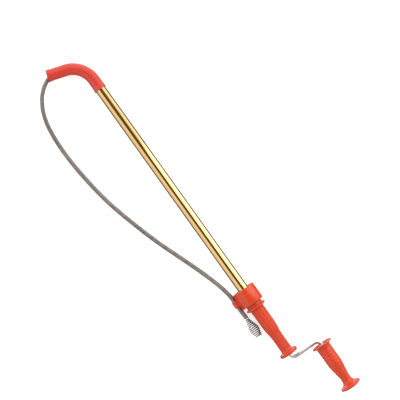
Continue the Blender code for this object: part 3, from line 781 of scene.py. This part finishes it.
CRANK_GRIP_OUTLINE = [
    (240.0, 10.0), (239.6, 22.0), (236.8, 25.0), (237.4, 27.6), (238.9, 28.6), (240.8, 27.8),
    (242.0, 24.0), (244.4, 20.6), (250.0, 19.3), (264.0, 19.2), (280.0, 19.2), (297.0, 19.1),
    (307.0, 18.4), (318.0, 16.7), (330.0, 14.8), (339.0, 13.4), (347.0, 12.9), (354.0, 13.6),
    (359.0, 15.8), (362.5, 20.0), (364.6, 25.4), (367.0, 27.9), (369.6, 28.4), (371.8, 26.8),
    (374.2, 21.0), (375.6, 12.6),
]
RIB_PITCH = 9.4 * MM
RIB_DEPTH = 0.42 * MM
RIBS_FROM, RIBS_TO = 245.9 * MM, 346.0 * MM


def make_crank_grip():
    """A waisted grip with faint ribs round it, hollow for the rod's end, and its domed end cap."""
    centre = (middle("crank_grip").y - ORIGIN.y, 0)
    outside = [(x * MM, r * MM) for x, r in CRANK_GRIP_OUTLINE]
    pocket = size("grip_end_cap").y / 2 + GAP
    ring_end = tool_x("grip_stop_ring", 1) + GAP
    ring = size("grip_stop_ring").y / 2 + GAP
    cap_floor = tool_x("grip_washer", 0) - GAP
    outline = smoothed(outside, 6)
    outline += [(outside[-1][0], pocket), (cap_floor, pocket), (cap_floor, ROD_BORE),
                (ring_end, ROD_BORE), (ring_end, ring), (outside[0][0], ring)]
    outline = densified(outline, 0.7 * MM)

    def dent(x, angle, radius):
        if radius < 12.2 * MM or not RIBS_FROM < x < RIBS_TO:
            return radius
        fade = min(ease(x, (RIBS_FROM, RIBS_FROM + 4 * MM)), 1 - ease(x, (RIBS_TO - 6 * MM, RIBS_TO)))
        groove = (0.5 + 0.5 * math.cos(2 * math.pi * (x - RIBS_FROM) / RIB_PITCH)) ** 3
        return radius - RIB_DEPTH * fade * groove

    verts, faces = lathe(outline, 96, centre, dent)
    new_piece("crank_grip_moulding", verts, faces, "crank_handle", "crank_grip", "moulded_red", 50)
    cap_radius = pocket - GAP
    start, end = tool_x("grip_end_cap", 0), tool_x("grip_end_cap", 1)
    dome = [(start, 0), (start, cap_radius - 0.5 * MM), (start + 0.5 * MM, cap_radius)]
    for k in range(9):
        a = math.pi / 2 * k / 8
        dome.append((end - 1.6 * MM + 1.6 * MM * math.sin(a), cap_radius * math.cos(a) ** 0.6))
    dome[-1] = (end, 0)
    verts, faces = lathe(dome, 64, centre)
    new_piece("grip_end_cap_moulding", verts, faces, "crank_handle", "grip_end_cap", "moulded_red", 40)


# ---------------------------------------------------------------- crank rod

ARM_X = 224.5 * MM
ROD_BEND = 13.0 * MM
ROD_END = 365.0 * MM


def make_crank_rod():
    """One round rod: straight through the tube, then two right-angle bends."""
    radius = size("crank_rod").z / 2
    throw = middle("crank_grip").y - ORIGIN.y
    steps = 16
    points = [Vector((tool_x("crank_rod", 0), 0, 0))]
    points.append(points[0] + Vector((0.6 * MM, 0, 0)))
    points += [points[1].lerp(Vector((ARM_X - ROD_BEND, 0, 0)), k / 20) for k in range(1, 20)]
    for i in range(steps + 1):
        a = math.pi / 2 * i / steps
        points.append(Vector((ARM_X - ROD_BEND * (1 - math.sin(a)), ROD_BEND * (1 - math.cos(a)), 0)))
    for i in range(steps + 1):
        a = math.pi / 2 * i / steps
        across = throw - ROD_BEND * (1 - math.sin(a))
        points.append(Vector((ARM_X + ROD_BEND * (1 - math.cos(a)), across, 0)))
    points.append(Vector((ROD_END - 0.6 * MM, throw, 0)))
    points.append(Vector((ROD_END, throw, 0)))
    points = [ORIGIN + p for p in points]
    around = 32
    verts = swept(points, around, lambda i, a: radius - (0.6 * MM if i in (0, len(points) - 1) else 0))
    faces = lofted(len(points), around)
    new_piece("crank_rod_steel", verts, faces, "crank", "crank_rod", "plated_rod_steel", 50)


# ---------------------------------------------------------------- collar

COLLAR_LENGTH = size("collar_front_shell").x
COLLAR_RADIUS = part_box("collar_front_shell")[1].z - ORIGIN.z
COLLAR_EDGE = 1.6 * MM
COLLAR_SEAT = 30.0 * MM
COLLAR_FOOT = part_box("collar_back_shell")[0].z - ORIGIN.z
SPIGOT_BORE = 18.3 * MM
SADDLE_Y = -33.2 * MM
SADDLE_TOP = 9.0 * MM
CLIP_Y = -38.5 * MM
HOOK_FROM, HOOK_TO = 13.9 * MM, 32.8 * MM
HOOK_BORE = CABLE_RADIUS + 0.5 * MM
HOOK_THICKNESS = 1.9 * MM
HOOK_TIP_ANGLE = math.radians(262)
HOOK_ARM_TOP = 4.6 * MM
SCREW_RADIUS = 1.7 * MM
SCREW_HEAD_RADIUS = 3.4 * MM
SCREW_HEAD = 2.2 * MM


def arc(radius, start, end, steps, centre=(0, 0)):
    """Points along a circle from one angle to another."""
    angles = [start + (end - start) * k / steps for k in range(steps + 1)]
    return [(centre[0] + radius * math.cos(a), centre[1] + radius * math.sin(a)) for a in angles]


def shell_outline(inset, bore, front):
    """One shell's outline in the tool's YZ plane, its outer side drawn in by inset."""
    radius = COLLAR_RADIUS - inset
    if front:
        part = GAP / 2 + inset * 0.25
        top, side = SADDLE_TOP - inset, SADDLE_Y + inset
        meet = math.pi - math.asin(top / radius)
        corner = arc(1.2 * MM, math.pi / 2, math.pi, 5, (side + 1.2 * MM, top - 1.2 * MM))
        outside = arc(radius, math.asin(part / radius), meet, 60) + corner + [(side, part)]
    else:
        part = -GAP / 2 - inset * 0.25
        foot = COLLAR_FOOT + inset
        meet = math.asin(foot / radius)
        outside = arc(radius, math.asin(part / radius), meet, 36)
        outside += arc(radius, math.pi - meet, math.pi - math.asin(part / radius), 36)
    inside = arc(bore, math.pi - math.asin(part / bore), math.asin(part / bore), 36)
    return outside + inside


def shell_verts(front):
    """The shell as sections along the tube: rounded ends, and a wider bore for the grip's spigot."""
    tube_bore = TUBE_RADIUS + GAP
    ends = [(COLLAR_EDGE * (1 - math.sin(a)), COLLAR_EDGE * (1 - math.cos(a)))
            for a in (k * math.pi / 10 for k in range(6))]
    sections = [(x, inset, tube_bore) for inset, x in ends]
    sections += [(COLLAR_SEAT, 0, tube_bore), (COLLAR_SEAT, 0, SPIGOT_BORE)]
    sections += [(COLLAR_LENGTH - x, inset, SPIGOT_BORE) for inset, x in ends[::-1]]
    verts = []
    for x, inset, bore in sections:
        outline = shell_outline(inset, bore, front)
        verts += [tool(x, y, z) for y, z in outline]
    return verts, len(sections), len(outline)




def hook_sections():
    """The arm over the cable and round its outer side, with rounded edges and a rounded tip."""
    edge = 0.7 * MM
    ends = [(edge * (1 - math.sin(a)), edge * (1 - math.cos(a)))
            for a in (k * math.pi / 8 for k in range(5))]
    sections = [(HOOK_FROM + x, inset) for inset, x in ends]
    sections += [(HOOK_TO - x, inset) for inset, x in ends[::-1]]
    root = -COLLAR_RADIUS + 4 * MM
    middle_radius = HOOK_BORE + HOOK_THICKNESS / 2
    tip = (CLIP_Y + middle_radius * math.cos(HOOK_TIP_ANGLE),
           CLIP_Z + middle_radius * math.sin(HOOK_TIP_ANGLE))
    verts = []
    for x, inset in sections:
        half = HOOK_THICKNESS / 2 - inset
        outline = [(root, CLIP_Z + HOOK_BORE + inset), (root, HOOK_ARM_TOP - inset)]
        outline += arc(middle_radius + half, math.pi / 2, HOOK_TIP_ANGLE, 28, (CLIP_Y, CLIP_Z))
        outline += arc(half, HOOK_TIP_ANGLE, HOOK_TIP_ANGLE + math.pi, 8, tip)[1:-1]
        outline += arc(middle_radius - half, HOOK_TIP_ANGLE, math.pi / 2, 28, (CLIP_Y, CLIP_Z))
        verts += [tool(x, y, z) for y, z in outline]
    return verts, len(sections), len(outline)


def raw_object(name, verts, faces):
    """A closed mesh object that is only used to cut or join another."""
    mesh = bpy.data.meshes.new(name)
    mesh.from_pydata([tuple(v) for v in verts], [], faces)
    shape = bmesh.new()
    shape.from_mesh(mesh)
    bmesh.ops.remove_doubles(shape, verts=shape.verts, dist=MERGE)
    bmesh.ops.recalc_face_normals(shape, faces=shape.faces)
    shape.to_mesh(mesh)
    shape.free()
    obj = bpy.data.objects.new(name, mesh)
    bpy.context.scene.collection.objects.link(obj)
    return obj


def upright(x, y, low, high, radius, around=32):
    """Points and faces of a cylinder along Z between two heights of the tool frame."""
    circle = [(math.cos(2 * math.pi * j / around), math.sin(2 * math.pi * j / around)) for j in range(around)]
    verts = [tool(x + radius * c, y + radius * s, z) for z in (low, high) for c, s in circle]
    return verts, lofted(2, around)


def combined(obj, other, operation):
    """Joins or cuts obj with another object, which is then removed."""
    modifier = obj.modifiers.new(operation, "BOOLEAN")
    modifier.object = other
    modifier.operation = operation
    modifier.solver = "EXACT"
    mesh = bpy.data.meshes.new_from_object(obj.evaluated_get(bpy.context.evaluated_depsgraph_get()))
    obj.modifiers.clear()
    obj.data = mesh
    bpy.data.objects.remove(other)


def screw_places():
    """Where the collar's screws stand in the tool frame."""
    for i in range(1, 5):
        place = middle(f"collar_screw_{i}") - ORIGIN
        yield place.x, place.y


def finished(obj, name, body, node, slot, sharp=35):
    """Turns a raw object into the piece that stands for a node."""
    obj.name = name
    obj.data.name = name
    obj.data.materials.clear()
    obj.data.materials.append(LOOKS[slot])
    obj.data.shade_smooth()
    obj.data.set_sharp_from_angle(angle=math.radians(sharp))
    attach(obj, body)
    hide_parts(node)


def make_collar():
    """Two shells with the hook joined to the front one, and holes for the screws and the rivet."""
    head_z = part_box("collar_screw_1")[0].z - ORIGIN.z
    tip_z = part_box("collar_screw_1")[1].z - ORIGIN.z
    verts, rings, around = shell_verts(True)
    front = raw_object("collar_front", verts, lofted(rings, around))
    verts, rings, around = hook_sections()
    combined(front, raw_object("hook", verts, lofted(rings, around)), "UNION")
    verts, rings, around = shell_verts(False)
    back = raw_object("collar_back", verts, lofted(rings, around))
    for x, y in screw_places():
        hole = upright(x, y, head_z - 5 * MM, tip_z + 1 * MM, SCREW_RADIUS + GAP)
        combined(front, raw_object("hole", *hole), "DIFFERENCE")
        combined(back, raw_object("hole", *hole), "DIFFERENCE")
        recess = upright(x, y, COLLAR_FOOT - 5 * MM, head_z + SCREW_HEAD + GAP, SCREW_HEAD_RADIUS + GAP)
        combined(back, raw_object("recess", *recess), "DIFFERENCE")
    rivet = middle("collar_rivet").x - ORIGIN.x
    hole = upright(rivet, 0, COLLAR_FOOT - 5 * MM, -10 * MM, SCREW_RADIUS + GAP)
    combined(back, raw_object("hole", *hole), "DIFFERENCE")
    recess = upright(rivet, 0, COLLAR_FOOT - 5 * MM, COLLAR_FOOT + 3.4 * MM, SCREW_HEAD_RADIUS + GAP)
    combined(back, raw_object("recess", *recess), "DIFFERENCE")
    finished(front, "collar_front_moulding", "guide", "collar_front_shell", "moulded_red")
    finished(back, "collar_back_moulding", "guide", "collar_back_shell", "moulded_red")


# ---------------------------------------------------------------- screws, rivet and turned pieces


def make_headed_pin(node):
    """A pan-headed screw with a cross recess, standing head down; the rivet's head is plain."""
    low, high = (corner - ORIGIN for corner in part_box(node))
    x, y = (low.x + high.x) / 2, (low.y + high.y) / 2
    head = [(0, 0.05 * MM)] + [(SCREW_HEAD_RADIUS * math.sin(a), 1.3 * MM * (1 - math.cos(a)))
                               for a in (k * math.pi / 16 for k in range(1, 9))]
    outline = [(r, z + low.z) for r, z in head]
    outline += [(SCREW_HEAD_RADIUS, low.z + SCREW_HEAD), (SCREW_RADIUS, low.z + SCREW_HEAD)]
    outline += [(SCREW_RADIUS, high.z - 0.8 * MM), (SCREW_RADIUS - 0.7 * MM, high.z), (0, high.z)]
    around = 32
    circle = [(math.cos(2 * math.pi * j / around), math.sin(2 * math.pi * j / around)) for j in range(around)]
    verts = [tool(x + r * c, y + r * s, z) for r, z in outline for c, s in circle]
    pin = raw_object("pin", verts, ring_faces(len(outline), around))
    if "screw" in node:
        wide, thin, deep = 2.0 * MM, 0.42 * MM, 1.3 * MM
        plan = [(thin, wide), (thin, thin), (wide, thin), (wide, -thin), (thin, -thin), (thin, -wide),
                (-thin, -wide), (-thin, -thin), (-wide, -thin), (-wide, thin), (-thin, thin), (-thin, wide)]
        verts = [tool(x + u, y + v, z) for z in (low.z - 1 * MM, low.z + deep) for u, v in plan]
        combined(pin, raw_object("cross", verts, lofted(2, len(plan))), "DIFFERENCE")
    finished(pin, node + "_pin", "guide", node, "fastener_steel", 30)


def make_turned(node, body, bore, slot, radius_edge=0.35 * MM):
    """A ring, washer or bushing: the node's own outer size about a bore, with its edges rounded."""
    low, high = (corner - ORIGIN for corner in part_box(node))
    centre = ((low.y + high.y) / 2, (low.z + high.z) / 2)
    radius = (high.y - low.y) / 2
    outline = rounded([(low.x, radius), (high.x, radius), (high.x, bore), (low.x, bore)], radius_edge)
    verts, faces = lathe(outline, 64, centre)
    new_piece(node + "_turned", verts, faces, body, node, slot, 50)


def make_small_pieces():
    """Pins, bushings, rings and washers."""
    for node in ("collar_screw_1", "collar_screw_2", "collar_screw_3", "collar_screw_4", "collar_rivet",
                 "grip_screw"):
        make_headed_pin(node)
    make_turned("grip_bushing", "guide", ROD_BORE, "nylon")
    make_turned("rod_guide", "slider", ROD_BORE, "nylon", 0.8 * MM)
    for node in ("retaining_ring_front", "retaining_ring_rear", "grip_stop_ring", "grip_washer", "push_nut"):
        make_turned(node, "crank", ROD_BORE, "fastener_steel")


# ---------------------------------------------------------------- the rest of the CAD nodes


def dress_cad_nodes():
    """Nodes that stay as designed get the material of their slot."""
    for row in frame["record"]["subparts"]:
        obj = frame["nodes"][row["node"]]
        if obj.hide_render:
            continue
        obj.data.materials.clear()
        obj.data.materials.append(LOOKS[row["material_slot"]])


make_camera()
make_materials()
cable, cable_path = make_cable()
bulb = make_bulb()
make_guide_tube()
make_vinyl_guard()
make_main_grip()
make_crank_grip()
make_crank_rod()
make_collar()
make_small_pieces()
dress_cad_nodes()
make_floor()
make_studio()
make_key_light()
